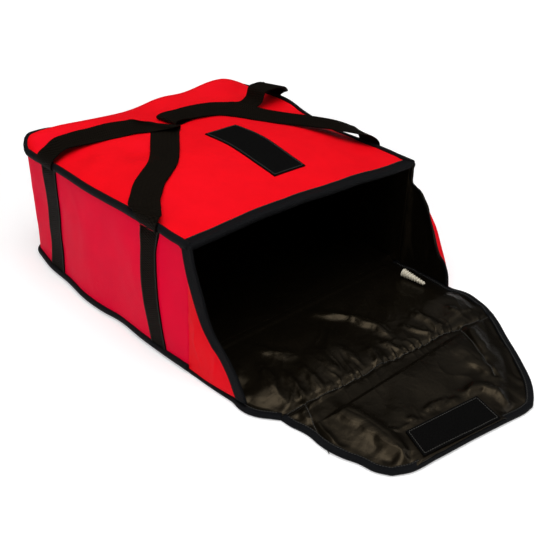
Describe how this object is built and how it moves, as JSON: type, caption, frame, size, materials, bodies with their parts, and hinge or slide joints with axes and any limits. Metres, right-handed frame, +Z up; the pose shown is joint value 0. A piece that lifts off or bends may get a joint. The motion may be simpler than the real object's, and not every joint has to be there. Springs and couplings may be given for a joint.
{
  "type": "pizza delivery bag",
  "caption": "Low square insulated fabric food bag, open at the front, with a fold-over flap, side wings, a hook-and-loop closure and two long webbing carrying loops.",
  "frame": {"origin": "on the floor, under the centre of the bag's body", "axes": "+X to the right of the mouth seen from the front, +Y to the rear, +Z up; the flap lies open on the floor towards -Y"},
  "size_m": [0.516, 0.8776, 0.2637],
  "materials": {
    "red_fabric": "coated woven nylon, slightly satin",
    "black_lining": "wrinkled glossy coated nylon",
    "grey_wadding": "soft fibre wadding, hidden",
    "black_tape": "matt woven binding tape",
    "black_webbing": "ribbed woven webbing",
    "black_hook_and_loop": "matt hook and loop pile",
    "cream_plastic": "moulded flexible plastic",
    "grey_heating_mat": "laminated mat, hidden"
  },
  "bodies": {
    "bag_body": {"base_outer": "red_fabric", "base_wadding": "grey_wadding", "heating_mat": "grey_heating_mat", "base_lining": "black_lining", "band_outer": "red_fabric", "left_wall_wadding": "grey_wadding", "right_wall_wadding": "grey_wadding", "rear_wall_wadding": "grey_wadding", "band_lining": "black_lining", "top_outer": "red_fabric", "top_wadding": "grey_wadding", "top_lining": "black_lining", "mouth_top_binding": "black_tape", "top_piping": "black_tape", "bottom_piping": "black_tape", "left_wing_outer": "red_fabric", "left_wing_lining": "black_lining", "left_wing_binding": "black_tape", "right_wing_outer": "red_fabric", "right_wing_lining": "black_lining", "right_wing_binding": "black_tape", "loop_patch": "black_hook_and_loop", "left_front_webbing_leg": "black_webbing", "left_rear_webbing_leg": "black_webbing", "right_front_webbing_leg": "black_webbing", "right_rear_webbing_leg": "black_webbing"},
    "flap_front": {"flap_outer": "red_fabric", "flap_wadding": "grey_wadding", "flap_lining": "black_lining", "flap_left_binding": "black_tape", "flap_right_binding": "black_tape", "lead_sleeve": "cream_plastic"},
    "flap_tongue": {"tongue_outer": "red_fabric", "tongue_wadding": "grey_wadding", "tongue_lining": "black_lining", "tongue_binding": "black_tape", "hook_patch": "black_hook_and_loop"},
    "left_handle": {"left_handle_loop": "black_webbing"},
    "right_handle": {"right_handle_loop": "black_webbing"}
  },
  "joints": [
    {"name": "flap_hinge", "type": "hinge", "parent": "bag_body", "child": "flap_front", "pos_m": [0, -0.2406, 0.0133], "axis": [-1, 0, 0], "range_deg": [0, 90], "deforming": ["left_wing_outer", "left_wing_lining", "left_wing_binding", "right_wing_outer", "right_wing_lining", "right_wing_binding"]},
    {"name": "tongue_fold", "type": "hinge", "parent": "flap_front", "child": "flap_tongue", "pos_m": [0, -0.4466, 0.0133], "axis": [-1, 0, 0], "range_deg": [0, 81]},
    {"name": "left_handle_hinge", "type": "hinge", "parent": "bag_body", "child": "left_handle", "pos_m": [-0.242, 0.012, 0.206], "axis": [0, -1, 0], "range_deg": [0, 165]},
    {"name": "right_handle_hinge", "type": "hinge", "parent": "bag_body", "child": "right_handle", "pos_m": [0.242, 0.012, 0.206], "axis": [0, 1, 0], "range_deg": [0, 165]}
  ]
}
